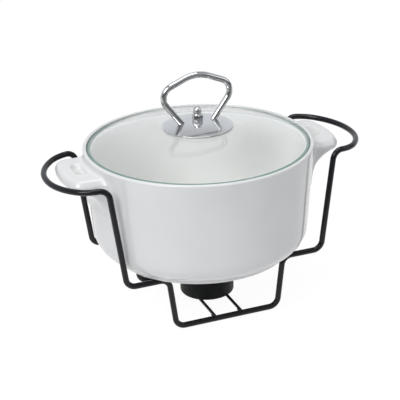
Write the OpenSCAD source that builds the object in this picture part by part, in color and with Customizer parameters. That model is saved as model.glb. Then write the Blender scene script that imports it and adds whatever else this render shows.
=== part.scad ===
// Round porcelain casserole with a domed glass lid, standing on a bent-wire warming stand
// that carries a candle cup. Origin on the table under the middle of the stand,
// +X towards the right lug, +Y to the back, +Z up. All sizes are in millimetres.

/* [Dish] */
// Outside diameter of the dish at its rim
dish_d = 220; // [205:1:235]
// Height of the dish from the foot ring to the rim
dish_h = 107.7; // [95:0.1:120]
// Distance the wall leans in from the rim down to the underside
wall_lean = 7.6; // [4:0.1:10]
// Wall thickness just above the bottom corner
dish_wall = 6; // [5:0.5:8]
// Floor thickness
dish_floor = 6; // [4:0.5:9]
// Outside radius of the bottom corner
dish_corner_r = 22; // [18:1:26]
// Inside radius of the bottom corner
cavity_corner_r = 18; // [10:1:24]
// Outside diameter of the foot ring
foot_ring_d = 176; // [168:1:180]
// Width of the foot ring
foot_ring_w = 8; // [5:0.5:10]
// Height of the foot ring below the underside
foot_ring_h = 3.5; // [2:0.5:5]
// Thickness of the lip that stands round the lid
lip_t = 3.8; // [3:0.1:5]
// Rounding of the lip's outer edge
lip_round = 1.8; // [0.5:0.1:2.5]
// Depth of the lid ledge below the rim
ledge_depth = 5.9; // [4.5:0.1:8]
// Width of the lid ledge
ledge_w = 5.7; // [4:0.1:7]

/* [Lugs] */
// Reach of each lug beyond the rim
lug_out = 30; // [24:1:34]
// Width of each lug
lug_w = 68; // [56:1:76]
// Thickness of each lug at its tip
lug_t = 8.5; // [7:0.5:11]
// Drop of the lug's top face below the rim
lug_drop = 7.6; // [7:0.1:14]
// Rise of the underside towards the tip, in degrees
lug_slope = 13; // [5:1:18]
// Radius of the cove between the underside and the wall
lug_cove_r = 28; // [16:1:32]
// Radius of the lug's outer corners
lug_corner_r = 12; // [8:1:16]
// Set-back of the outer corners behind the tip
lug_bow = 6; // [3:0.5:9]
// Radius of the bowed outer edge
lug_bow_r = 110; // [60:5:140]
// Length of the finger recess along the lug
recess_l = 27; // [18:1:36]
// Width of the finger recess
recess_w = 10; // [6:0.5:12]
// Depth of the finger recess beside the wall
recess_depth = 5; // [3:0.5:6.5]
// Depth of the finger recess at its outer edge
recess_lip = 1.2; // [0.8:0.1:2]
// Distance of the recess's middle from the rim
recess_out = 8.5; // [7.5:0.5:12]

/* [Lid] */
// Play between the glass and the lip
lid_play = 0.7; // [0.4:0.1:1.2]
// Rise of the dome from its edge to its top
dome_rise = 18.6; // [12:0.1:26]
// Thickness of the glass
glass_t = 4; // [3:0.5:5]
// Diameter of the hole in the middle of the glass
glass_hole_d = 9; // [8:0.5:12]

/* [Handle] */
// Diameter of the handle plate
plate_d = 67; // [56:1:80]
// Rise of the handle plate from its edge to its top
plate_rise = 5; // [4:0.1:6.5]
// Thickness of the handle plate
plate_t = 0.8; // [0.6:0.1:1.5]
// Thickness of the gasket ring under the plate
gasket_t = 0.5; // [0.3:0.1:1]
// Width of the gasket ring
gasket_w = 5; // [3:0.5:8]
// Diameter of the handle rod
rod_d = 6; // [5:0.5:7]
// Distance between the rod's two ends on the plate
handle_base_w = 33; // [28:0.5:40]
// Distance between the handle's two outer corners
handle_w = 80; // [72:0.5:90]
// Height of the outer corners above the plate's top
handle_corner_h = 30.5; // [28:0.5:40]
// Rise of the handle's peak above its outer corners
handle_peak_rise = 16.5; // [12:0.5:20]
// Bend radius of the outer corners
handle_corner_r = 12; // [8:0.5:13]
// Bend radius of the peak
handle_peak_r = 32; // [20:1:36]

/* [Fastening] */
// Diameter of the lid bolt
bolt_d = 5; // [4:0.5:6]
// Diameter of the bolt's head
bolt_head_d = 9.5; // [8:0.5:12]
// Height of the bolt's head
bolt_head_h = 3.2; // [2.5:0.1:4]
// Length of thread inside the cap nut
bolt_grip = 9; // [6:0.5:9.5]
// Length of the cross recess in the bolt's head
cross_l = 5.2; // [4:0.1:6]
// Width of the cross recess's arms
cross_w = 1.3; // [1:0.1:1.8]
// Depth of the cross recess
cross_depth = 1.6; // [1:0.1:2]
// Width across the flats of the cap nut
nut_flats = 9; // [8:0.5:11]
// Height of the nut's hexagon
nut_hex_h = 5.8; // [4:0.1:7]
// Diameter of the nut's dome
nut_dome_d = 8; // [7.2:0.1:9]
// Height of the whole nut
nut_h = 13.5; // [12.5:0.5:16]
// Diameter of the washer over the bolt's head
washer_d = 16; // [14:0.5:20]
// Thickness of the washer
washer_t = 1; // [0.6:0.1:1.6]
// Diameter of the bush's flange under the glass
bush_flange_d = 18; // [16:0.5:24]
// Thickness of the bush's flange
bush_flange_t = 2; // [1:0.5:3]

/* [Stand] */
// Diameter of the stand wire
wire_d = 5.6; // [5:0.1:6.5]
// Distance between the front and back wires, centre to centre
wire_span = 105; // [96:1:112]
// Height of the shoulders that carry the dish
seat_h = 57; // [50:1:70]
// How far the dish sits to the left of the stand's middle
dish_shift = 5; // [0:0.5:6]
// How far the foot ring reaches out past the risers
seat_reach = 7; // [5:0.5:9]
// Outward lean of each riser between the table and the shoulder
riser_lean = 6.3; // [2:0.1:10]
// Play between the dish's bottom corner and the foot of each leg
leg_low_play = 3.7; // [2:0.1:8]
// Play between the rim and the top of each leg
leg_top_play = 8; // [5:0.5:12]
// Play between the lug's tip and the loop round it
loop_play = 7; // [5:0.5:12]
// Drop of the loop wire's centre below the rim
loop_drop = 10.6; // [6:0.1:16]
// Droop of each loop towards its tip, in degrees
loop_droop = 3.4; // [0:0.1:6]
// Turn of the loop wire towards the middle as it leaves the leg, in degrees
loop_turn = 10; // [4:1:16]
// Heading of the loop wire between its two bends, in degrees
loop_slant = 48; // [42:1:54]
// Least straight between two bends of the wire
wire_flat = 1; // [0.8:0.1:2]
// Bend radius of the wire
wire_bend_r = 9.5; // [8:0.5:11]

/* [Candle cup] */
// Diameter of the two rails under the cup
rail_d = 3.1; // [2.5:0.1:4]
// Distance between the rails, centre to centre
rail_gap = 27.1; // [20:0.1:34]
// Depth the rails are set into the foot wires by their welds
rail_set = 1.1; // [0.5:0.1:1.4]
// Outside diameter of the candle cup
cup_d = 53; // [46:1:58]
// Height of the candle cup
cup_h = 24; // [22:1:26]
// Wall thickness of the candle cup
cup_t = 1; // [0.8:0.1:1.6]
// Rounding of the cup's bottom edge
cup_round = 2.5; // [2:0.1:4]

/* [Tealight] */
// Outside diameter of the tealight's shell
tealight_d = 38.5; // [37:0.5:40]
// Height of the tealight's shell
tealight_h = 16; // [14:0.5:18]
// Thickness of the shell
tealight_t = 0.4; // [0.3:0.1:0.6]
// Depth of the wax below the shell's edge
wax_drop = 2.5; // [1.5:0.5:4]
// Diameter of the wick
wick_d = 1.6; // [1.2:0.1:2]
// Length of wick above the wax
wick_out = 8; // [5:0.5:9]
// Diameter of the wick holder's disc
sustainer_d = 13; // [10:0.5:16]
// Diameter of the wick holder's neck
sustainer_neck_d = 3.2; // [3:0.1:4]
// Height of the wick holder
sustainer_h = 4; // [3:0.5:6]

/* [Clearances] */
// Gap under a piece that lifts off
lift_gap = 0.2; // [0.1:0.05:0.4]
// Gap between pieces that are fastened together
seam = 0.02; // [0.01:0.01:0.05]
// Gap round the bolt and the bush
bolt_play = 0.1; // [0.05:0.05:0.2]

/* [Hidden] */
$fn = 96;
dome_fn = 360;
arc_steps = 8;
join_l = 0.3;
join_hair = 0.02;

// Dish, measured from its own foot ring
dish_r = dish_d / 2;
low_r = dish_r - wall_lean;
wall_h = dish_h - foot_ring_h;
ring_r = foot_ring_d / 2;
floor_z = foot_ring_h + dish_floor;
ledge_r = dish_r - lip_t;
ledge_z = dish_h - ledge_depth;
cavity_top_r = ledge_r - ledge_w;
cavity_low_r = low_r - dish_wall;
dish_z = seat_h + lift_gap;
past = 2;

// Lugs, measured from the dish's own foot ring
lug_top = dish_h - lug_drop;
lug_tip = dish_r + lug_out;
lug_sink = 0.5;
lug_wall_in = wall_lean / wall_h;
lug_wall_0 = low_r - lug_sink - lug_wall_in * foot_ring_h;
lug_rise = tan(lug_slope);
cove_z = (lug_top - lug_t - (lug_tip - lug_wall_0) * lug_rise) / (1 - lug_wall_in * lug_rise);
cove_reach = lug_cove_r / tan((90 + lug_slope) / 2);
lug_low = cove_z - cove_reach - past;

// Lid, in the frame of the whole object
lid_r = ledge_r - lid_play;
dome_r = (lid_r * lid_r + dome_rise * dome_rise) / (2 * dome_rise);
dome_top = dish_z + ledge_z + lift_gap + dome_r - drop_chord(dome_r - glass_t, lid_r);
glass_under = dome_top - glass_t;
plate_r = plate_d / 2;
plate_bow = (plate_r * plate_r + plate_rise * plate_rise) / (2 * plate_rise);
gasket_top = dome_top - dome_r + drop_chord(dome_r + gasket_t, plate_r);
plate_top = gasket_top + seam + plate_bow - drop_chord(plate_bow - plate_t, plate_r);
flange_top = dome_top - dome_r + drop_chord(dome_r - glass_t, bush_flange_d / 2) - seam;
washer_top = flange_top - bush_flange_t - seam;
head_top = washer_top - washer_t - seam;
hole_r = bolt_d / 2 + bolt_play;

// Stand
half_span = wire_span / 2;
wire_r = wire_d / 2;
shoulder_z = seat_h - wire_r;
riser_top_x = drop_chord(ring_r, half_span) - dish_shift - seat_reach;
riser_low_x = riser_top_x - riser_lean;
leg_low_x = drop_chord(low_r, half_span) + dish_shift + leg_low_play + wire_r;
leg_top_x = drop_chord(dish_r, half_span) + dish_shift + leg_top_play + wire_r;
loop_x = lug_tip + dish_shift + loop_play + wire_r;
loop_z = dish_z + dish_h - loop_drop;
rail_z = wire_d + rail_d / 2 - rail_set;
cup_z = rail_z + rail_d / 2 + seam;
tealight_z = cup_z + cup_t + lift_gap;
wax_h = tealight_h - tealight_t - wax_drop;

// Loop wire beside the right leg, in the loop's own drooping plane: it leaves the leg at
// loop_turn, bends to loop_slant, then bends wider until it is square to the middle plane.
// Short straights of wire_flat between the bends set the length of its first side.
loop_reach = (loop_x - leg_top_x) / cos(loop_droop);
leg_dir = unit([leg_top_x - leg_low_x, 0, loop_z - shoulder_z]);
loop_dir = [cos(loop_turn) * cos(loop_droop), sin(loop_turn), -cos(loop_turn) * sin(loop_droop)];
loop_lead = wire_bend_r * tan(acos(leg_dir * loop_dir) / 2);
loop_fold = (1 + sin(loop_slant)) / cos(loop_slant);
first_side = (loop_reach * loop_fold - half_span + loop_lead + wire_flat)
             / (cos(loop_turn) * loop_fold + 1 - sin(loop_turn));
second_side = (loop_reach - first_side * cos(loop_turn)) / cos(loop_slant);
tip_side = half_span - first_side * sin(loop_turn) - second_side * sin(loop_slant);
tight_r = (first_side - loop_lead - wire_flat) / tan((loop_slant - loop_turn) / 2);
wide_r = (tip_side - wire_flat) / tan((90 - loop_slant) / 2);
function on_loop(u, v) = [leg_top_x + u * cos(loop_droop), v, loop_z - u * sin(loop_droop)];

// Right half of the front wire, from the foot to the loop's tip, and the whole wire
half_points = [[riser_low_x, -half_span, wire_r],
               [riser_top_x, -half_span, shoulder_z],
               [leg_low_x, -half_span, shoulder_z],
               on_loop(0, -half_span),
               on_loop(first_side * cos(loop_turn), first_side * sin(loop_turn) - half_span),
               on_loop(loop_reach, -tip_side),
               on_loop(loop_reach, 0)];
half_radii = [wire_bend_r, wire_bend_r, wire_bend_r, wire_bend_r, tight_r, wide_r, 0];
half_count = len(half_points);
wire_points = [for (i = [1 : half_count]) [-half_points[half_count - i][0],
                                           half_points[half_count - i][1],
                                           half_points[half_count - i][2]],
               each half_points];
wire_radii = [for (i = [1 : half_count]) half_radii[half_count - i], each half_radii];

function drop_chord(r, across) = sqrt(r * r - across * across);
function unit(v) = v / norm(v);
function flat(p) = [p[0], p[1]];

// Points of a rounded corner at b, which carries its radius as a third number
function corner_points(a, b, c) = b[2] == 0 ? [flat(b)] :
    let (u = unit(flat(a) - flat(b)),
         v = unit(flat(c) - flat(b)),
         half = acos(u * v) / 2,
         o = flat(b) + unit(u + v) * b[2] / sin(half),
         from = flat(b) + u * b[2] / tan(half) - o,
         to = flat(b) + v * b[2] / tan(half) - o,
         start = atan2(from[1], from[0]),
         sweep = (atan2(to[1], to[0]) - start + 540) % 360 - 180)
    [for (k = [0 : arc_steps]) let (turn = start + sweep * k / arc_steps) o + b[2] * [cos(turn), sin(turn)]];

// Outline from corners that each give x, y and a rounding radius
function outline(p) = [for (i = [0 : len(p) - 1])
    each corner_points(p[(i + len(p) - 1) % len(p)], p[i], p[(i + 1) % len(p)])];

// Headings into and out of point i of a bent rod, the angle between them, the length that
// its bend takes from the straights beside it, and the side that it bends towards
function heading(p, i) = unit(p[i + 1] - p[i]);
function bend_turn(p, i) = acos(heading(p, i - 1) * heading(p, i));
function bend_trim(p, r, i) = i == 0 || i == len(p) - 1 ? 0 : r[i] * tan(bend_turn(p, i) / 2);
function bend_side(p, i) = unit(heading(p, i) - heading(p, i - 1) * cos(bend_turn(p, i)));

// Roll of the rod about its own axis between the bends at points i and i + 1
function bend_roll(p, i) = i + 2 == len(p) ? 0 :
    let (side = bend_side(p, i) * cos(bend_turn(p, i)) - heading(p, i - 1) * sin(bend_turn(p, i)))
    atan2(cross(side, bend_side(p, i + 1)) * heading(p, i), side * bend_side(p, i + 1));

// Straight round rod from a to b
module rod(a, b, d) {
    u = unit(b - a);
    translate(a) rotate([0, acos(u[2]), atan2(u[1], u[0])]) cylinder(h = norm(b - a), d = d);
}

// Rod through the points p with the bend radii r, fed out from point i as a wire bender does:
// a straight along +Z, then a bend towards +X, then a roll, and the rest follows from there.
// A straight is a hair thinner than the bends and reaches a little way into them.
module rod_from(p, r, d, i) {
    straight = norm(p[i + 1] - p[i]) - bend_trim(p, r, i) - bend_trim(p, r, i + 1);
    before = i == 0 ? 0 : join_l;
    after = i + 2 == len(p) ? 0 : join_l;
    translate([0, 0, -before]) cylinder(h = before + straight + after, d = d - join_hair);
    if (i + 2 < len(p)) translate([r[i + 1], 0, straight]) {
        turn = bend_turn(p, i + 1);
        rotate([90, 0, 180]) rotate_extrude(angle = turn) translate([r[i + 1], 0]) circle(d = d);
        rotate([0, turn, 0]) translate([-r[i + 1], 0, 0]) rotate([0, 0, bend_roll(p, i + 1)])
            rod_from(p, r, d, i + 1);
    }
}

// The same rod in its place, set out from its first point
module bent_rod(p, r, d) {
    z = heading(p, 0);
    x = bend_side(p, 1);
    y = cross(z, x);
    multmatrix([[x[0], y[0], z[0], p[0][0]],
                [x[1], y[1], z[1], p[0][1]],
                [x[2], y[2], z[2], p[0][2]],
                [0, 0, 0, 1]]) rod_from(p, r, d, 0);
}

// Cap of a hollow sphere of outside radius r, cut off at edge_r, with its top at top_z
module dome_shell(r, t, edge_r, top_z) {
    translate([0, 0, top_z - r]) difference() {
        intersection() {
            sphere(r, $fn = dome_fn);
            cylinder(h = r + past, r = edge_r);
        }
        sphere(r - t, $fn = dome_fn);
    }
}

// Plain ring standing on z
module ring(outer_r, inner_r, z, h) {
    translate([0, 0, z]) difference() {
        cylinder(h = h, r = outer_r);
        translate([0, 0, -past]) cylinder(h = h + 2 * past, r = inner_r);
    }
}

// Everything on the dish's own axis
module on_dish() {
    translate([-dish_shift, 0, 0]) children();
}

// One bent wire: foot, two risers, two shoulders, two legs and half of each loop
module stand_wire() {
    bent_rod(wire_points, wire_radii, wire_d);
}

module front_wire() {
    color([0.11, 0.12, 0.14]) stand_wire();
}

module back_wire() {
    color([0.11, 0.12, 0.14]) mirror([0, 1, 0]) stand_wire();
}

// Rail between the foot wires, with its ends coped round them at the welds
module cup_rail(x) {
    difference() {
        rod([x, -half_span, rail_z], [x, half_span, rail_z], rail_d);
        for (y = [-half_span, half_span])
            rod([x - rail_d, y, wire_r], [x + rail_d, y, wire_r], wire_d + seam);
    }
}

module cup_rail_left() {
    color([0.11, 0.12, 0.14]) cup_rail(-rail_gap / 2);
}

module cup_rail_right() {
    color([0.11, 0.12, 0.14]) cup_rail(rail_gap / 2);
}

// Drawn cup, open at the top
module candle_cup() {
    color([0.09, 0.10, 0.11]) translate([0, 0, cup_z]) rotate_extrude() polygon(outline([
        [0, 0, 0],
        [cup_d / 2, 0, cup_round],
        [cup_d / 2, cup_h, 0],
        [cup_d / 2 - cup_t, cup_h, 0],
        [cup_d / 2 - cup_t, cup_t, cup_round - cup_t],
        [0, cup_t, 0]]));
}

// Outside of the dish without its lugs
module dish_body() {
    rotate_extrude() polygon(outline([
        [0, foot_ring_h, 0],
        [low_r, foot_ring_h, dish_corner_r],
        [dish_r, dish_h, lip_round],
        [0, dish_h, 0]]));
    ring(ring_r, ring_r - foot_ring_w, 0, floor_z);
}

// Inside of the dish: floor, corner, wall, ledge and lip
module dish_cavity() {
    rotate_extrude() polygon(outline([
        [0, floor_z, 0],
        [cavity_low_r, floor_z, cavity_corner_r],
        [cavity_top_r, ledge_z, 0],
        [ledge_r, ledge_z, 0],
        [ledge_r, dish_h + past, 0],
        [0, dish_h + past, 0]]));
}

// Both lugs: a coved flange round the wall, kept only inside each lug's plan
module lugs() {
    intersection() {
        rotate_extrude() polygon(outline([
            [cavity_low_r, lug_top, 0],
            [lug_tip + past, lug_top, 0],
            [lug_tip + past, lug_top - lug_t + past * lug_rise, 0],
            [lug_wall_0 + lug_wall_in * cove_z, cove_z, lug_cove_r],
            [lug_wall_0 + lug_wall_in * lug_low, lug_low, 0],
            [cavity_low_r, lug_low, 0]]));
        for (side = [0, 1]) mirror([side, 0, 0])
            translate([0, 0, lug_low - past]) linear_extrude(lug_top - lug_low + 2 * past) polygon(outline([
                [0, -lug_w / 2, 0],
                [lug_tip - lug_bow, -lug_w / 2, lug_corner_r],
                [lug_tip, 0, lug_bow_r],
                [lug_tip - lug_bow, lug_w / 2, lug_corner_r],
                [0, lug_w / 2, 0]]));
    }
}

// Round-ended pocket in a lug's top face, whose floor falls from its outer edge towards the wall
module finger_recess() {
    reach = (recess_l - recess_w) / 2;
    half = recess_w / 2;
    rise = (recess_depth - recess_lip) / recess_w;
    translate([dish_r + recess_out, 0, lug_top - recess_depth]) difference() {
        translate([0, 0, -past]) {
            for (side = [-1, 1]) translate([0, side * reach, 0])
                cylinder(h = recess_depth + 2 * past, d = recess_w);
            translate([-half, -reach, 0]) cube([recess_w, 2 * reach, recess_depth + 2 * past]);
        }
        translate([0, recess_l / 2 + past, 0]) rotate([90, 0, 0])
            linear_extrude(recess_l + 2 * past) polygon([
                [-half - past, -2 * past],
                [half + past, -2 * past],
                [half + past, (recess_w + past) * rise],
                [-half - past, -past * rise]]);
    }
}

module casserole_dish() {
    color([0.87, 0.88, 0.89]) on_dish() translate([0, 0, dish_z]) difference() {
        union() {
            dish_body();
            lugs();
        }
        dish_cavity();
        for (side = [0, 1]) mirror([side, 0, 0]) finger_recess();
    }
}

module lid_glass() {
    color([0.80, 0.88, 0.86, 0.4]) on_dish() difference() {
        dome_shell(dome_r, glass_t, lid_r, dome_top);
        translate([0, 0, glass_under - past]) cylinder(h = glass_t + 2 * past, d = glass_hole_d);
    }
}

module plate_gasket() {
    color([0.78, 0.79, 0.78]) on_dish() difference() {
        dome_shell(dome_r + gasket_t, gasket_t - seam, plate_r, dome_top + gasket_t);
        translate([0, 0, dome_top - dome_rise]) cylinder(h = dome_rise + past, r = plate_r - gasket_w);
    }
}

module handle_plate() {
    color([0.74, 0.75, 0.77]) on_dish() difference() {
        dome_shell(plate_bow, plate_t, plate_r, plate_top);
        translate([0, 0, plate_top - plate_t - past]) cylinder(h = plate_t + 2 * past, r = hole_r);
    }
}

// Bent rod whose two ends stand on the plate
module lid_handle() {
    base = handle_base_w / 2;
    corner = handle_w / 2;
    base_z = plate_top - plate_bow + drop_chord(plate_bow, base);
    corner_z = plate_top + handle_corner_h;
    lean = unit([corner - base, 0, corner_z - base_z]);
    end = [base, 0, base_z] - lean * rod_d;
    color([0.76, 0.77, 0.79]) on_dish() difference() {
        bent_rod([[-end[0], 0, end[2]],
                  [-corner, 0, corner_z],
                  [0, 0, corner_z + handle_peak_rise],
                  [corner, 0, corner_z],
                  end],
                 [0, handle_corner_r, handle_peak_r, handle_corner_r, 0], rod_d);
        translate([0, 0, plate_top - plate_bow]) sphere(plate_bow + seam, $fn = dome_fn);
    }
}

// Tall cap nut on the bolt, seated on the plate
module cap_nut() {
    color([0.76, 0.77, 0.79]) on_dish() translate([0, 0, plate_top + seam]) difference() {
        union() {
            cylinder(h = nut_hex_h, d = nut_flats / cos(30), $fn = 6);
            cylinder(h = nut_h - nut_dome_d / 2, d = nut_dome_d);
            translate([0, 0, nut_h - nut_dome_d / 2]) sphere(d = nut_dome_d);
        }
        translate([0, 0, -past]) cylinder(h = past + bolt_grip + bolt_play, d = bolt_d + 2 * seam);
    }
}

// Round-headed bolt from under the glass, with a cross recess in its head
module lid_bolt() {
    head_low = head_top - bolt_head_h;
    color([0.70, 0.71, 0.73]) on_dish() difference() {
        union() {
            translate([0, 0, head_low]) cylinder(h = bolt_head_h, d = bolt_head_d);
            rod([0, 0, head_top - bolt_head_h / 2], [0, 0, plate_top + bolt_grip], bolt_d);
        }
        for (turn = [0, 90]) rotate([0, 0, turn])
            translate([-cross_l / 2, -cross_w / 2, head_low - past])
                cube([cross_l, cross_w, cross_depth + past]);
    }
}

module bolt_washer() {
    color([0.70, 0.71, 0.73]) on_dish() ring(washer_d / 2, hole_r, washer_top - washer_t, washer_t);
}

// Flanged soft bush that keeps the bolt and the washer off the glass
module bolt_bush() {
    sleeve_h = plate_top - plate_t - bolt_play - flange_top;
    color([0.80, 0.81, 0.80]) on_dish() difference() {
        union() {
            translate([0, 0, flange_top - bush_flange_t]) cylinder(h = bush_flange_t, d = bush_flange_d);
            translate([0, 0, flange_top]) cylinder(h = sleeve_h, d = glass_hole_d - 2 * bolt_play);
        }
        translate([0, 0, flange_top - bush_flange_t - past])
            cylinder(h = bush_flange_t + sleeve_h + 2 * past, r = hole_r);
    }
}

module tealight_shell() {
    color([0.78, 0.79, 0.80]) translate([0, 0, tealight_z]) difference() {
        cylinder(h = tealight_h, d = tealight_d);
        translate([0, 0, tealight_t]) cylinder(h = tealight_h, d = tealight_d - 2 * tealight_t);
    }
}

// Disc and neck of the wick holder, grown by room when it is the space left for it
module sustainer_shape(room) {
    cylinder(h = tealight_t + room, d = sustainer_d + 2 * room);
    cylinder(h = sustainer_h + room, d = sustainer_neck_d + 2 * room);
}

module tealight_wax() {
    color([0.93, 0.91, 0.86]) translate([0, 0, tealight_z + tealight_t + seam]) difference() {
        cylinder(h = wax_h, d = tealight_d - 2 * tealight_t - 2 * seam);
        translate([0, 0, -seam]) sustainer_shape(2 * seam);
        translate([0, 0, -past]) cylinder(h = wax_h + 2 * past, d = wick_d + 2 * seam);
    }
}

module wick_sustainer() {
    color([0.66, 0.67, 0.68]) translate([0, 0, tealight_z + tealight_t + seam]) difference() {
        sustainer_shape(0);
        translate([0, 0, tealight_t]) cylinder(h = sustainer_h, d = wick_d + 2 * seam);
    }
}

module tealight_wick() {
    base_z = tealight_z + 2 * tealight_t + 2 * seam;
    top_z = tealight_z + tealight_t + wax_h + wick_out;
    color([0.90, 0.88, 0.82]) rod([0, 0, base_z], [0, 0, top_z], wick_d);
}

front_wire();
back_wire();
cup_rail_left();
cup_rail_right();
candle_cup();
casserole_dish();
lid_glass();
handle_plate();
plate_gasket();
lid_handle();
cap_nut();
lid_bolt();
bolt_washer();
bolt_bush();
tealight_shell();
tealight_wax();
wick_sustainer();
tealight_wick();
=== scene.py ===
"""A glazed casserole with a domed glass lid on a bent-wire warming stand, dressed round its solid model."""

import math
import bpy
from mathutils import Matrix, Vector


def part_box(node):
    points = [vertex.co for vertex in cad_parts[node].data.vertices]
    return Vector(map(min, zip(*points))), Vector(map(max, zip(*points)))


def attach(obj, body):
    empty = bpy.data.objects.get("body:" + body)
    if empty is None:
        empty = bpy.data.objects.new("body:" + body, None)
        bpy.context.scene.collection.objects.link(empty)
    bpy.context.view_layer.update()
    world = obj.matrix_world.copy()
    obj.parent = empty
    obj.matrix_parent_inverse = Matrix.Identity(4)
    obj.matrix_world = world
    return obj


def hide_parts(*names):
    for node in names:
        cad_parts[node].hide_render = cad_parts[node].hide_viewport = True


bl_info = {
    "name": "Casserole on a Warming Stand",
    "version": (1, 0, 0),
    "blender": (4, 5, 0),
    "location": "View3D > Sidebar > Casserole",
    "description": "Builds a porcelain casserole, its glass lid and the candle-warmed wire stand below it",
    "category": "Object",
}

import bmesh
import bpy
import numpy as np
from bpy.props import FloatProperty, FloatVectorProperty, PointerProperty
from mathutils import Matrix, Vector

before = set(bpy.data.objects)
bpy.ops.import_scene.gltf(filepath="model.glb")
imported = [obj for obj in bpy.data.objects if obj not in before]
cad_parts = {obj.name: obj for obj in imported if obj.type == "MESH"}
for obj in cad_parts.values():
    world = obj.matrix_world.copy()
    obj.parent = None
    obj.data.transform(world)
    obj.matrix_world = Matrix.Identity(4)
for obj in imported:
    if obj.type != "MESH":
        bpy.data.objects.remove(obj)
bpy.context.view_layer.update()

DISH_LOW, DISH_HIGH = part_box("casserole_dish")
GLASS_LOW, GLASS_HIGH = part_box("lid_glass")
PLATE_LOW, PLATE_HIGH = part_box("handle_plate")
NUT_LOW, NUT_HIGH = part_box("cap_nut")
WIRE_LOW, WIRE_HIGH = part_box("front_wire")
CUP_LOW, CUP_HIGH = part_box("candle_cup")
SHELL_LOW, SHELL_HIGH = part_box("tealight_shell")
WAX_LOW, WAX_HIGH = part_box("tealight_wax")
WICK_LOW, WICK_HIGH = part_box("tealight_wick")

DISH_X = (DISH_LOW.x + DISH_HIGH.x) / 2
DISH_REACH = (DISH_HIGH.x - DISH_LOW.x) / 2
RIM_RADIUS = (DISH_HIGH.y - DISH_LOW.y) / 2
RIM_HEIGHT = DISH_HIGH.z - DISH_LOW.z
PLATE_RADIUS = (PLATE_HIGH.x - PLATE_LOW.x) / 2

MM = 0.001
HAIR = 1e-5

# Where the photograph was taken from
CAMERA_PLACE = (-0.4262, -1.0852, 0.6056)
CAMERA_TURN = math.radians(21.22)
CAMERA_TILT = math.radians(23.29)
CAMERA_ROLL = math.radians(-1.64)
CAMERA_LENS = 118.12
SENSOR_WIDTH = 36.0

# Lamps of (name, place, width, power), the height that they aim at, and the even light round them
LAMPS = (("key_softbox", (-1.30, -0.85, 1.30), 1.0, 18.5),
         ("top_softbox", (0.0, -0.1, 1.9), 1.2, 15.0),
         ("fill_softbox", (1.5, -0.8, 0.9), 1.0, 3.0))
AIM_HEIGHT = 0.11
AMBIENT_TONE = (0.98, 0.99, 1.0)
AMBIENT_STRENGTH = 0.22
WHITE = (1.0, 1.0, 1.0)

# What glaze and metal mirror: a dim room in front, a pale wall behind that fades upwards, and a floor that
# dims towards both ends. A span is two levels and the two directions, or places on the floor, that have them.
ROOM_TONE = (0.09, 0.09, 0.095)
WALL_TONE, CEILING_TONE = (0.78, 0.81, 0.85), (0.60, 0.61, 0.63)
WALL_UP_SPAN = (0.0, 0.8, 0.02, 0.42)
WALL_BACK_SPAN = (0.0, 1.0, -0.30, 0.35)
CEILING_SPAN = (0.0, 1.0, 0.45, 0.8)
FLOOR_NEAR_SPAN = (0.16, 0.95, -0.50, -0.22)
FLOOR_FAR_SPAN = (0.95, 0.66, 0.35, 0.95)
FLOOR_HALF = 4.0
FLOOR_TONE, FLOOR_SHADE = (0.82, 0.82, 0.82), (0.10, 0.10, 0.10)
FLOOR_GLOW = 0.95

# Columns and rows of the dish's mesh, and the least distance of its rows where there is hardly any lug
LUG_COLUMNS, PLAIN_COLUMNS = 168, 62
COVE_ROWS, EDGE_ROWS, TOP_ROWS, FILLET_ROWS = 44, 8, 43, 6
ROW_GAP = 0.03 * MM
ROW_GAP_REACH = (3 * MM, 1 * MM)

# How softly a lug's edge runs into its cove, and where the recess's back, its sides and the painted shade on
# its slope fade
COVE_BLEND, SPACING_BLEND = 6 * MM, 4 * MM
RECESS_BACK = (-0.54, -0.26)
RECESS_SIDE = (0.5 * MM, -1.7 * MM)
RECESS_SHADE_SLOPE = (0.05, 0.45)

# Refraction, the glass's ground band, the plate's curve, a weld bead by the rail, the wax and the wick
GLAZE_IOR, GLASS_IOR = 1.52, 1.48
GROUND_BAND, GROUND_START, GROUND_ROUND = 2.6 * MM, 1.4 * MM, 1.3 * MM
PLATE_CURVE = 2.6
BEAD_SHAPE = (1.5, 2.2, 0.8)
SHELL_CLIMB, WICK_CLIMB = 1.4 * MM, 1.1 * MM
WICK_TWIST = 20.0


def length(name, description, millimetres):
    """A length property whose default is given in millimetres."""
    return FloatProperty(name=name, description=description, default=millimetres * MM, min=0.0,
                         precision=5, unit="LENGTH", subtype="DISTANCE")


def angle(name, description, degrees):
    """An angle property whose default is given in degrees."""
    return FloatProperty(name=name, description=description, default=math.radians(degrees),
                         unit="ROTATION", subtype="ANGLE")


def colour(name, description, rgb):
    """A colour property in linear red, green and blue."""
    return FloatVectorProperty(name=name, description=description, default=rgb, size=3,
                               min=0.0, max=1.0, subtype="COLOR")


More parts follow.
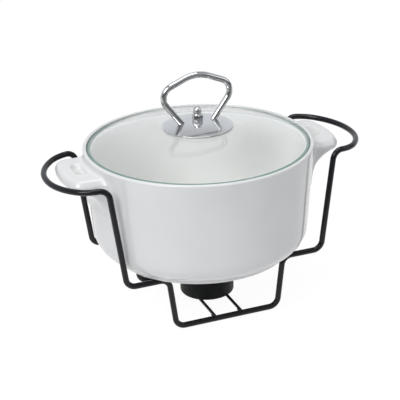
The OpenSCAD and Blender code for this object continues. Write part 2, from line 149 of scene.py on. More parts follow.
class DishSizes(bpy.types.PropertyGroup):
    """Sizes of the porcelain dish and its two lugs."""
    wall_lean: length("Wall lean", "How far the wall leans in from the rim to the underside", 7.6)
    wall: length("Wall", "Thickness of the wall above the bottom corner", 6.0)
    floor: length("Floor", "Thickness of the floor", 6.0)
    corner: length("Corner", "Outside radius of the bottom corner", 22.0)
    cavity_corner: length("Inside corner", "Inside radius of the bottom corner", 18.0)
    foot_radius: length("Foot radius", "Outside radius of the foot ring", 88.0)
    foot_width: length("Foot width", "Width of the foot ring", 8.0)
    foot_height: length("Foot height", "Height of the foot ring", 3.5)
    foot_edge: length("Foot edge", "Rounding of the foot ring's outer edge", 3.0)
    lip: length("Lip", "Thickness of the lip round the lid", 3.8)
    ledge_depth: length("Ledge depth", "Depth of the lid ledge below the rim", 5.9)
    ledge_width: length("Ledge width", "Width of the lid ledge", 5.7)
    lug_width: length("Lug width", "Width of each lug", 68.0)
    lug_thickness: length("Lug thickness", "Thickness of each lug at its tip", 8.5)
    lug_drop: length("Lug drop", "Drop of the lug's top below the rim", 7.6)
    lug_slope: angle("Lug slope", "Rise of the lug's underside towards its tip", 13.0)
    lug_cove: length("Lug cove", "Radius of the cove under the lug", 28.0)
    lug_corner: length("Lug corner", "Radius of the lug's outer corners", 13.0)
    lug_bow: length("Lug bow", "Set-back of the lug's corners behind its tip", 6.0)
    lug_root: length("Lug root", "Radius of the lug's flanks where they meet the wall", 14.0)
    lug_edge: length("Lug edge", "Rounding of the lug's top edge", 5.2)
    lug_step: length("Lug step", "How far the cove stands off the wall where it ends below", 2.6)
    lug_fillet: length("Lug fillet", "Radius between the lug's top and the wall above it", 3.4)
    recess_length: length("Recess length", "Length of the finger recess along the lug", 28.0)
    recess_width: length("Recess width", "Width of the finger recess", 11.8)
    recess_depth: length("Recess depth", "Depth of the finger recess beside the wall", 6.0)
    recess_lip: length("Recess lip", "Depth of the finger recess at its outer edge", 0.6)
    recess_out: length("Recess place", "Distance of the recess's middle from the rim", 8.9)


class LidSizes(bpy.types.PropertyGroup):
    """Sizes of the glass lid, its plate, handle and cap nut."""
    glass: length("Glass", "Thickness of the glass", 4.0)
    dome_rise: length("Dome rise", "Rise of the dome from its edge to its top", 18.6)
    glass_hole: length("Glass hole", "Radius of the hole in the middle of the glass", 4.5)
    plate: length("Plate", "Thickness of the handle plate", 0.8)
    plate_rise: length("Plate rise", "Rise of the handle plate from its edge to its top", 5.0)
    plate_hole: length("Plate hole", "Radius of the hole in the plate", 2.6)
    rod: length("Rod", "Diameter of the handle rod", 6.0)
    base_width: length("Base width", "Distance between the rod's ends on the plate", 33.0)
    corner_height: length("Corner height", "Height of the handle's corners above the plate", 30.5)
    handle_width: length("Handle width", "Distance between the handle's two corners", 80.0)
    peak_rise: length("Peak rise", "Rise of the handle's peak above its corners", 16.5)
    corner_bend: length("Corner bend", "Bend radius of the handle's corners", 12.0)
    peak_bend: length("Peak bend", "Bend radius of the handle's peak", 32.0)
    nut_hex: length("Nut hexagon", "Height of the cap nut's hexagon", 5.8)
    nut_flats: length("Nut flats", "Width across the nut's flats", 9.0)
    nut_dome: length("Nut dome", "Diameter of the nut's dome", 8.0)


class StandSizes(bpy.types.PropertyGroup):
    """Sizes of the bent-wire stand and its candle cup."""
    wire: length("Wire", "Diameter of the stand wire", 5.6)
    bend: length("Bend", "Bend radius of the wire", 9.5)
    seat: length("Seat height", "Height of the shoulders that carry the dish", 57.0)
    riser_foot: length("Riser foot", "Distance of each riser's foot from the middle", 52.32)
    riser_lean: length("Riser lean", "Outward lean of each riser", 6.3)
    leg_foot: length("Leg foot", "Distance of each leg's foot from the middle", 99.4)
    leg_top: length("Leg top", "Distance of each leg's top from the middle", 112.47)
    loop_height: length("Loop height", "Height of the loop where it leaves the leg", 154.3)
    loop_droop: angle("Loop droop", "Droop of each loop towards its tip", 3.4)
    loop_turn: angle("Loop turn", "Turn of the loop towards the middle as it leaves the leg", 10.0)
    loop_slant: angle("Loop slant", "Heading of the loop between its two bends", 48.0)
    loop_flat: length("Loop flat", "Straight between two bends of the loop", 1.0)
    rail: length("Rail", "Diameter of the rails under the cup", 3.1)
    cup_wall: length("Cup wall", "Wall thickness of the candle cup", 1.0)
    cup_corner: length("Cup corner", "Rounding of the cup's bottom edge", 2.5)


class TealightSizes(bpy.types.PropertyGroup):
    """Sizes of the tealight in the candle cup."""
    foil: length("Foil", "Thickness of the foil shell", 0.4)
    rim_roll: length("Rim roll", "Radius of the rolled rim", 0.45)
    meniscus: length("Meniscus", "Height that the wax climbs at the shell and the wick", 0.6)
    wick: length("Wick", "Diameter of the wick", 1.6)


class Finishes(bpy.types.PropertyGroup):
    """Colours of the casserole's materials."""
    glaze: colour("Glaze", "White glaze of the dish", (0.80, 0.805, 0.815))
    glaze_deep: colour("Deep glaze", "Glaze where it has pooled", (0.765, 0.775, 0.79))
    # Painted light: the inside glaze is set lighter and warmer than the outside for the light that falls into
    # the dish
    painted_inside_light: colour("Inside glaze", "Warmer glaze of the inside", (0.865, 0.867, 0.86))
    # Painted shade: a darker, warmer tone drawn on the slope of each finger recess for the shade that falls
    # there
    painted_recess_shade: colour("Pooled glaze", "Thick glaze on the slope of the finger recess", (0.735, 0.735, 0.72))
    bare_clay: colour("Bare clay", "Unglazed foot of the dish", (0.70, 0.66, 0.59))
    glass: colour("Glass", "Tint of the glass", (0.985, 0.993, 0.988))
    glass_edge: colour("Glass edge", "Tint of the ground edge of the glass", (0.11, 0.24, 0.195))
    coat: colour("Wire coat", "Black enamel of the wire", (0.005, 0.0055, 0.008))
    cup_coat: colour("Cup coat", "Black coat of the candle cup", (0.006, 0.0065, 0.0075))
    chrome: colour("Chrome", "Polished plate, handle and nut", (0.57, 0.575, 0.58))
    plate: colour("Plate", "Satin steel of the handle plate", (0.70, 0.705, 0.71))
    steel: colour("Steel", "Bolt, washer and wick holder", (0.50, 0.51, 0.53))
    silicone: colour("Silicone", "Gasket and bush", (0.62, 0.63, 0.62))
    foil: colour("Foil", "Foil shell of the tealight", (0.74, 0.75, 0.77))
    wax: colour("Wax", "Paraffin wax", (0.84, 0.81, 0.74))
    wick: colour("Wick", "Cotton wick", (0.72, 0.68, 0.58))


def smooth_step(low, high, value):
    """0 below low and 1 above high, with a smooth rise between, for numbers and arrays."""
    t = np.clip((value - low) / (high - low), 0.0, 1.0)
    return t * t * (3.0 - 2.0 * t)


def soft_min(a, b, blend):
    """The smaller of a and b, rounded off over blend where they meet."""
    near = np.maximum(blend - np.abs(a - b), 0.0) / np.maximum(blend, 1e-9)
    return np.minimum(a, b) - near ** 3 * blend / 6.0


def rounded(corners, steps):
    """An open outline through corners of (x, y, radius), with each radius drawn as an arc."""
    points = [corners[0][:2]]
    for before, corner, after in zip(corners, corners[1:], corners[2:]):
        here = Vector(corner[:2])
        if corner[2] <= 0.0:
            points.append(tuple(here))
            continue
        u = (Vector(before[:2]) - here).normalized()
        v = (Vector(after[:2]) - here).normalized()
        half = math.acos(max(-1.0, min(1.0, u.dot(v)))) / 2
        centre = here + (u + v).normalized() * corner[2] / math.sin(half)
        start = here + u * corner[2] / math.tan(half) - centre
        end = here + v * corner[2] / math.tan(half) - centre
        turn = math.atan2(start.x * end.y - start.y * end.x, start.dot(end))
        for k in range(steps + 1):
            points.append(tuple(centre + Matrix.Rotation(turn * k / steps, 2) @ start))
    points.append(corners[-1][:2])
    return points


def sphere_height(radius, out):
    """Height of a sphere's surface above its centre at a distance out from its axis."""
    return math.sqrt(radius * radius - out * out)


def cap_radius(edge, rise):
    """Radius of the sphere whose cap has this edge radius and rise."""
    return (edge * edge + rise * rise) / (2 * rise)


def mesh_from_grid(name, grid, closed_rows=False):
    """A mesh from rows of points that each run round a closed ring; a row of one place becomes a pole."""
    rows, columns = grid.shape[:2]
    index = np.arange(rows * columns).reshape(rows, columns)
    low, high = index[:-1], index[1:]
    if closed_rows:
        low, high = index, np.roll(index, -1, axis=0)
    quads = np.stack([low, np.roll(low, -1, axis=1), np.roll(high, -1, axis=1), high], axis=-1).reshape(-1, 4)
    mesh = bpy.data.meshes.new(name)
    mesh.from_pydata(grid.reshape(-1, 3).tolist(), [], quads.tolist())
    shape = bmesh.new()
    shape.from_mesh(mesh)
    bmesh.ops.remove_doubles(shape, verts=shape.verts, dist=HAIR)
    bmesh.ops.dissolve_degenerate(shape, edges=shape.edges, dist=HAIR / 10)
    bmesh.ops.recalc_face_normals(shape, faces=shape.faces)
    shape.to_mesh(mesh)
    shape.free()
    mesh.polygons.foreach_set("use_smooth", [True] * len(mesh.polygons))
    return mesh


def even_turns(columns):
    """Angles of columns spread evenly round a ring."""
    return np.arange(columns) * 2 * math.pi / columns


def ring_grid(rows, turn, x):
    """Points about the upright axis at x for rows of (radius, z); either may have one value per column."""
    return np.stack([np.stack([x + r * np.cos(turn), r * np.sin(turn), z + 0 * turn], axis=-1)
                     for r, z in rows])


def lathe(name, outline, x, columns, closed=False):
    """A turned mesh from an outline of (radius, z) about the upright axis at x."""
    return mesh_from_grid(name, ring_grid(outline, even_turns(columns), x), closed)


def set_finish(mesh, material):
    """Gives a mesh one material."""
    mesh.materials.clear()
    mesh.materials.append(material)


def place_piece(mesh, material, body, slot, *nodes):
    """Puts a finished mesh into the scene, riding on its body in place of the nodes that it stands for."""
    set_finish(mesh, material)
    piece = bpy.data.objects.new(mesh.name, mesh)
    bpy.context.scene.collection.objects.link(piece)
    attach(piece, body)
    if nodes:
        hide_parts(*nodes)


def add_node(tree, kind, inputs=None, **settings):
    """Adds a node and returns its outputs; an input is a value, or the socket that feeds it."""
    node = tree.nodes.new(kind)
    for name, value in settings.items():
        setattr(node, name, value)
    for name, value in (inputs or {}).items():
        socket = node.inputs[name]
        if isinstance(value, bpy.types.NodeSocket):
            tree.links.new(value, socket)
        else:
            socket.default_value = value
    return node.outputs


def rgba(rgb):
    """A colour with full alpha."""
    return (*rgb, 1.0)


def new_material(name):
    """A material, its empty node tree and the tree's object coordinates."""
    material = bpy.data.materials.new(name)
    material.use_nodes = True
    tree = material.node_tree
    tree.nodes.clear()
    return material, tree, add_node(tree, "ShaderNodeTexCoord")["Object"]


def noise(tree, place, per_metre, detail):
    """The value of a noise with this many features to the metre."""
    return add_node(tree, "ShaderNodeTexNoise", {
        "Vector": place, "Scale": per_metre, "Detail": detail})["Fac"]


def spread(tree, value, low, high, from_low=0.3, from_high=0.7):
    """A value stretched from one range to another."""
    return add_node(tree, "ShaderNodeMapRange", {
        "Value": value, "From Min": from_low, "From Max": from_high, "To Min": low, "To Max": high})["Result"]


def blend_colours(tree, share, first, second):
    """A colour between two, by share; each is a colour or a socket."""
    return add_node(tree, "ShaderNodeMix", {0: share, 6: first, 7: second}, data_type="RGBA")[2]


def work_out(tree, operation, *values, **settings):
    """The value of a math node on numbers or sockets."""
    return add_node(tree, "ShaderNodeMath", dict(enumerate(values)), operation=operation, **settings)["Value"]


def bumps(tree, *layers):
    """A normal from layers of (height value, height in metres, strength), the broadest first."""
    below = {}
    for height, distance, strength in layers:
        normal = add_node(tree, "ShaderNodeBump", {
            "Height": height, "Distance": distance, "Strength": strength, **below})["Normal"]
        below = {"Normal": normal}
    return normal


def glaze_finish(colours):
    """Glossy white glaze with slight waves and a bare clay foot; painted light makes the inside lighter and
    painted shade darkens the slopes of the finger recesses.
    """
    material, tree, place = new_material("white_glaze")
    height = add_node(tree, "ShaderNodeSeparateXYZ", {"Vector": place})["Z"]
    bare = spread(tree, height, 1.0, 0.0, DISH_LOW.z + 0.1 * MM, DISH_LOW.z + 0.3 * MM)
    pooled = spread(tree, noise(tree, place, 26.0, 3.0), 0.0, 1.0)
    glazed = blend_colours(tree, pooled, rgba(colours.glaze), rgba(colours.glaze_deep))
    # Painted light: faces that look into the dish take a lighter, warmer glaze tone for the light that falls
    # in; they are also made rougher
    inside = add_node(tree, "ShaderNodeAttribute", attribute_name="inside")["Fac"]
    glazed = blend_colours(tree, inside, glazed, rgba(colours.painted_inside_light))
    # Painted shade on the slopes of the finger recesses, drawn as a darker glaze tone
    recess_shade_mask = add_node(tree, "ShaderNodeAttribute", attribute_name="recess_shade_mask")["Fac"]
    glazed = blend_colours(tree, recess_shade_mask, glazed, rgba(colours.painted_recess_shade))
    clay = blend_colours(tree, spread(tree, noise(tree, place, 900.0, 4.0), 0.0, 1.0),
                         rgba(colours.bare_clay), rgba([0.86 * c for c in colours.bare_clay]))
    gloss = spread(tree, noise(tree, place, 60.0, 3.0), 0.07, 0.12)
    worn = work_out(tree, "MULTIPLY_ADD", inside, 0.24, gloss)
    dull = add_node(tree, "ShaderNodeMix", {"Factor": bare, "A": worn, "B": 0.8}, data_type="FLOAT")
    shader = add_node(tree, "ShaderNodeBsdfPrincipled", {
        "Base Color": blend_colours(tree, bare, glazed, clay),
        "Roughness": dull["Result"],
        "IOR": GLAZE_IOR,
        "Normal": bumps(tree, (noise(tree, place, 22.0, 1.0), 0.5 * MM, 0.35),
                        (noise(tree, place, 420.0, 1.0), 0.02 * MM, 0.25)),
    })
    add_node(tree, "ShaderNodeOutputMaterial", {"Surface": shader["BSDF"]})
    return material


def grained_finish(name, tones, patch, polish, roughness, relief, more, stretch=None):
    """A finish that varies between two tones and two roughnesses, with a fine relief.

    patch and polish are the features to the metre and the detail of a noise; relief adds height and strength.
    """
    material, tree, place = new_material(name)
    grain = place
    if stretch:
        grain = add_node(tree, "ShaderNodeMapping", {"Vector": place, "Scale": stretch})["Vector"]
    share = spread(tree, noise(tree, place, *patch), 0.0, 1.0)
    shader = add_node(tree, "ShaderNodeBsdfPrincipled", {
        "Base Color": blend_colours(tree, share, *[rgba(tone) for tone in tones]),
        "Roughness": spread(tree, noise(tree, place, *polish), *roughness),
        "Normal": bumps(tree, (noise(tree, grain, *relief[:2]), *relief[2:])),
        **more,
    })
    add_node(tree, "ShaderNodeOutputMaterial", {"Surface": shader["BSDF"]})
    return material


def coat_finish(name, rgb, roughness, grain, depth, shine=0.3):
    """Black coat with a fine grain."""
    lighter = [min(1.0, 1.5 * c + 0.002) for c in rgb]
    return grained_finish(name, (rgb, lighter), patch=(55.0, 3.0), polish=(160.0, 3.0),
                          roughness=(roughness - 0.05, roughness + 0.05), relief=(grain, 2.0, depth, 0.6),
                          more={"Specular IOR Level": shine})


def metal_finish(name, rgb, low, high, scratch):
    """Metal with a slightly uneven polish and fine rubbing marks."""
    darker = [0.93 * c for c in rgb]
    return grained_finish(name, (rgb, darker), patch=(70.0, 4.0), polish=(240.0, 3.0), roughness=(low, high),
                          relief=(500.0, 2.0, 0.004 * MM, scratch), more={"Metallic": 1.0},
                          stretch=(1.0, 9.0, 3.0))


def glass_finish(colours):
    """Clear glass that lets the light through."""
    material, tree, place = new_material("clear_glass")
    clear = add_node(tree, "ShaderNodeBsdfPrincipled", {
        "Base Color": rgba(colours.glass), "Roughness": 0.0, "IOR": GLASS_IOR, "Transmission Weight": 1.0,
        "Normal": bumps(tree, (noise(tree, place, 30.0, 1.0), 0.2 * MM, 0.2))})
    passing = add_node(tree, "ShaderNodeBsdfTransparent", {"Color": rgba(colours.glass)})
    path = add_node(tree, "ShaderNodeLightPath")
    lit = work_out(tree, "MAXIMUM", path["Is Shadow Ray"], path["Is Diffuse Ray"])
    mixed = add_node(tree, "ShaderNodeMixShader", {
        0: lit, 1: clear["BSDF"], 2: passing["BSDF"]})
    add_node(tree, "ShaderNodeOutputMaterial", {"Surface": mixed["Shader"]})
    return material


def ground_glass_finish(colours):
    """Ground edge of the glass: frosted, and green with the depth of glass behind it."""
    paler = [0.8 * c + 0.09 for c in colours.glass_edge]
    clear = {"IOR": GLASS_IOR, "Transmission Weight": 0.2, "Coat Weight": 1.0, "Coat Roughness": 0.03}
    return grained_finish("ground_glass", (colours.glass_edge, paler), patch=(90.0, 3.0), polish=(700.0, 2.0),
                          roughness=(0.3, 0.45), relief=(1800.0, 2.0, 0.02 * MM, 0.4), more=clear)


def soft_finish(name, rgb, roughness, grain, depth, glow=0.0):
    """Wax, silicone or cotton: a dull surface with a fine grain and some light inside it."""
    darker = [0.92 * c for c in rgb]
    return grained_finish(name, (rgb, darker), patch=(140.0, 3.0), polish=(300.0, 3.0),
                          roughness=(roughness - 0.06, roughness + 0.06), relief=(grain, 3.0, depth, 0.5),
                          more={"Subsurface Weight": glow, "Subsurface Scale": 2.0 * MM})


def new_tree(name, *sockets):
    """A Geometry Nodes tree with a geometry input and output and these further inputs of (name, type)."""
    tree = bpy.data.node_groups.new(name, "GeometryNodeTree")
    tree.interface.new_socket("Geometry", in_out="OUTPUT", socket_type="NodeSocketGeometry")
    tree.interface.new_socket("Path", in_out="INPUT", socket_type="NodeSocketGeometry")
    for label, kind in sockets:
        tree.interface.new_socket(label, in_out="INPUT", socket_type=kind)
    return tree, add_node(tree, "NodeGroupInput")


def close_tree(tree, geometry, material):
    """Ends a tree in realized geometry with its material."""
    solid = add_node(tree, "GeometryNodeRealizeInstances", {"Geometry": geometry})
    coated = add_node(tree, "GeometryNodeSetMaterial", {
        "Geometry": solid["Geometry"], "Material": material})
    add_node(tree, "NodeGroupOutput", {"Geometry": coated["Geometry"]})
    return tree


def run_tree(tree, name, base, **inputs):
    """The plain mesh that a tree makes from a base mesh, with the tree's named inputs set."""
    carrier = bpy.data.objects.new(name + "_path", base)
    bpy.context.scene.collection.objects.link(carrier)
    modifier = carrier.modifiers.new(tree.name, "NODES")
    modifier.node_group = tree
    for socket in tree.interface.items_tree:
        if socket.in_out == "INPUT" and socket.name in inputs:
            modifier[socket.identifier] = inputs[socket.name]
    evaluated = carrier.evaluated_get(bpy.context.evaluated_depsgraph_get())
    mesh = bpy.data.meshes.new_from_object(evaluated)
    carrier.modifiers.clear()
    bpy.data.objects.remove(carrier)
    mesh.name = name
    return mesh


def path_mesh(name, points, radii):
    """A line of edges through points that carry the radius of the bend at each."""
    mesh = bpy.data.meshes.new(name)
    mesh.from_pydata([tuple(p) for p in points], [(i, i + 1) for i in range(len(points) - 1)], [])
    bend = mesh.attributes.new("bend_radius", "FLOAT", "POINT")
    bend.data.foreach_set("value", [float(r) for r in radii])
    return mesh


def bent_rod_tree():
    """A round rod along a path, bent at each point to the radius that the point carries."""
    tree, given = new_tree("BentRod", ("Diameter", "NodeSocketFloat"), ("Bend Steps", "NodeSocketInt"),
                           ("Sides", "NodeSocketInt"), ("Finish", "NodeSocketMaterial"))
    line = add_node(tree, "GeometryNodeMeshToCurve", {"Mesh": given["Path"]})
    bend = add_node(tree, "GeometryNodeInputNamedAttribute", {"Name": "bend_radius"}, data_type="FLOAT")
    fillet = add_node(tree, "GeometryNodeFilletCurve", {
        "Curve": line["Curve"], "Radius": bend["Attribute"], "Count": given["Bend Steps"]},
        mode="POLY")
    ring = add_node(tree, "GeometryNodeCurvePrimitiveCircle", {
        "Resolution": given["Sides"], "Radius": work_out(tree, "MULTIPLY", given["Diameter"], 0.5)})
    rod = add_node(tree, "GeometryNodeCurveToMesh", {
        "Curve": fillet["Curve"], "Profile Curve": ring["Curve"], "Fill Caps": True})
    return close_tree(tree, rod["Mesh"], given["Finish"])


def bead_tree():
    """A flattened weld bead at each point."""
    tree, given = new_tree("WeldBeads", ("Size", "NodeSocketVector"), ("Finish", "NodeSocketMaterial"))
    bead = add_node(tree, "GeometryNodeMeshUVSphere", {"Segments": 20, "Rings": 12, "Radius": 0.5})
    set_out = add_node(tree, "GeometryNodeInstanceOnPoints", {
        "Points": given["Path"], "Instance": bead["Mesh"], "Scale": given["Size"]})
    return close_tree(tree, set_out["Instances"], given["Finish"])


def wick_tree():
    """A twisted cord of three strands along a path."""
    tree, given = new_tree("TwistedWick", ("Diameter", "NodeSocketFloat"), ("Twist", "NodeSocketFloat"),
                           ("Finish", "NodeSocketMaterial"))
    line = add_node(tree, "GeometryNodeMeshToCurve", {"Mesh": given["Path"]})
    fine = add_node(tree, "GeometryNodeResampleCurve", {"Curve": line["Curve"], "Count": 60})
    along = add_node(tree, "GeometryNodeSplineParameter")
    twisted = add_node(tree, "GeometryNodeSetCurveTilt", {
        "Curve": fine["Curve"],
        "Tilt": work_out(tree, "MULTIPLY", along["Factor"], given["Twist"])})
    star = add_node(tree, "GeometryNodeCurveStar", {
        "Points": 3, "Outer Radius": work_out(tree, "MULTIPLY", given["Diameter"], 0.5),
        "Inner Radius": work_out(tree, "MULTIPLY", given["Diameter"], 0.36)})
    soft = add_node(tree, "GeometryNodeSubdivideCurve", {"Curve": star["Curve"], "Cuts": 1})
    cord = add_node(tree, "GeometryNodeCurveToMesh", {
        "Curve": twisted["Curve"], "Profile Curve": soft["Curve"], "Fill Caps": True})
    return close_tree(tree, cord["Mesh"], given["Finish"])


def shade(mesh, sharp_angle=40.0):
    """Smooth shading with the edges kept that turn by more than sharp_angle degrees."""
    mesh.polygons.foreach_set("use_smooth", [True] * len(mesh.polygons))
    mesh.set_sharp_from_angle(angle=math.radians(sharp_angle))
    return mesh


def rod_mesh(name, points, radii, diameter, material, bend_steps=14, sides=32):
    """A bent round rod made by its tree."""
    tree = bpy.data.node_groups.get("BentRod") or bent_rod_tree()
    mesh = run_tree(tree, name, path_mesh(name + "_line", points, radii), **{
        "Diameter": diameter, "Bend Steps": bend_steps, "Sides": sides, "Finish": material})
    return shade(mesh)


def seen_rays(tree):
    """Two values: 1 for a ray by which the camera sees the background, and 1 for one that mirrors it."""
    path = add_node(tree, "ShaderNodeLightPath")
    straight = work_out(tree, "MAXIMUM", path["Is Camera Ray"], path["Is Glossy Ray"])
    seen = work_out(tree, "MAXIMUM", straight, path["Is Transmission Ray"])
    mirrored = work_out(tree, "SUBTRACT", path["Is Glossy Ray"], path["Is Transmission Ray"], use_clamp=True)
    return seen, mirrored


def finishes():
    """The scene's colours."""
    return bpy.context.scene.casserole_finishes


class CASSEROLE_OT_stage(bpy.types.Operator):
    """Camera, soft studio light and a pale floor"""
    bl_idname = "casserole.stage"
    bl_label = "Stage"

    def execute(self, context):
        scene = context.scene
        scene.view_settings.view_transform = "Standard"
        self.add_camera(scene)
        self.add_world(scene)
        self.add_floor(scene)
        for lamp in LAMPS:
            self.add_lamp(scene, *lamp)
        return {"FINISHED"}

    def add_camera(self, scene):
        """Stands where the photograph was taken from."""
        turn, tilt, roll = CAMERA_TURN, CAMERA_TILT, CAMERA_ROLL
        ahead = Vector((math.sin(turn) * math.cos(tilt), math.cos(turn) * math.cos(tilt), -math.sin(tilt)))
        level = Vector((math.cos(turn), -math.sin(turn), 0.0))
        above = level.cross(ahead)
        right = level * math.cos(roll) + above * math.sin(roll)
        up = right.cross(ahead)
        lens = bpy.data.cameras.new("camera")
        lens.sensor_width = SENSOR_WIDTH
        lens.lens = CAMERA_LENS
        camera = bpy.data.objects.new("camera", lens)
        turned = Matrix((right, up, -ahead)).transposed().to_4x4()
        camera.matrix_world = Matrix.Translation(CAMERA_PLACE) @ turned
        scene.collection.objects.link(camera)
        scene.camera = camera

    def add_world(self, scene):
        """A white backdrop, which metal mirrors as a dim room before the object, and an even soft light."""
        world = bpy.data.worlds.new("studio")
        world.use_nodes = True
        tree = world.node_tree
        tree.nodes.clear()
        ray = add_node(tree, "ShaderNodeTexCoord")["Generated"]
        axes = add_node(tree, "ShaderNodeSeparateXYZ", {"Vector": ray})
        share = work_out(tree, "MAXIMUM", spread(tree, axes["Z"], *WALL_UP_SPAN),
                         spread(tree, axes["Y"], *WALL_BACK_SPAN))
        ceiling = spread(tree, axes["Z"], *CEILING_SPAN)
        wall = blend_colours(tree, ceiling, rgba(WALL_TONE), rgba(CEILING_TONE))
        room = blend_colours(tree, share, rgba(ROOM_TONE), wall)
        seen, mirrored = seen_rays(tree)
        shown = blend_colours(tree, mirrored, rgba(WHITE), room)
        backdrop = add_node(tree, "ShaderNodeBackground", {"Color": shown, "Strength": 1.0}, name="backdrop")
        ambient = add_node(tree, "ShaderNodeBackground", {
            "Color": rgba(AMBIENT_TONE), "Strength": AMBIENT_STRENGTH}, name="ambient")
        mixed = add_node(tree, "ShaderNodeMixShader", {
            0: seen, 1: ambient["Background"], 2: backdrop["Background"]})
        add_node(tree, "ShaderNodeOutputWorld", {"Surface": mixed["Shader"]})
        scene.world = world

    def add_floor(self, scene):
        """A wide pale floor that looks white and keeps a faint shadow; metal mirrors its ends darker."""
        corners = [(x * FLOOR_HALF, y * FLOOR_HALF, 0.0) for x, y in ((-1, -1), (1, -1), (1, 1), (-1, 1))]
        mesh = bpy.data.meshes.new("floor")
        mesh.from_pydata(corners, [], [(0, 1, 2, 3)])
        material, tree, place = new_material("pale_floor")
        matt = add_node(tree, "ShaderNodeBsdfDiffuse", {"Color": rgba(FLOOR_TONE)})
        faint = add_node(tree, "ShaderNodeBsdfDiffuse", {"Color": rgba(FLOOR_SHADE)})
        near = add_node(tree, "ShaderNodeSeparateXYZ", {"Vector": place})["Y"]
        seen, mirrored = seen_rays(tree)
        dimmed = work_out(tree, "MINIMUM", spread(tree, near, *FLOOR_NEAR_SPAN),
                          spread(tree, near, *FLOOR_FAR_SPAN))
        level = add_node(tree, "ShaderNodeMix", {"Factor": mirrored, "A": FLOOR_GLOW, "B": dimmed},
                         data_type="FLOAT")
        glow = add_node(tree, "ShaderNodeEmission", {
            "Color": rgba(WHITE), "Strength": level["Result"]})
        pale = add_node(tree, "ShaderNodeAddShader", {0: faint["BSDF"], 1: glow["Emission"]})
        mixed = add_node(tree, "ShaderNodeMixShader", {
            0: seen, 1: matt["BSDF"], 2: pale["Shader"]})
        add_node(tree, "ShaderNodeOutputMaterial", {"Surface": mixed["Shader"]})
        mesh.materials.append(material)
        floor = bpy.data.objects.new("floor", mesh)
        scene.collection.objects.link(floor)

    def add_lamp(self, scene, name, place, size, power):
        """A square soft light aimed at the dish."""
        lamp = bpy.data.lights.new(name, "AREA")
        lamp.size = size
        lamp.energy = power
        light = bpy.data.objects.new(name, lamp)
        light.location = place
        aim = Vector((DISH_X, 0.0, AIM_HEIGHT)) - Vector(place)
        light.rotation_euler = aim.to_track_quat("-Z", "Y").to_euler()
        scene.collection.objects.link(light)


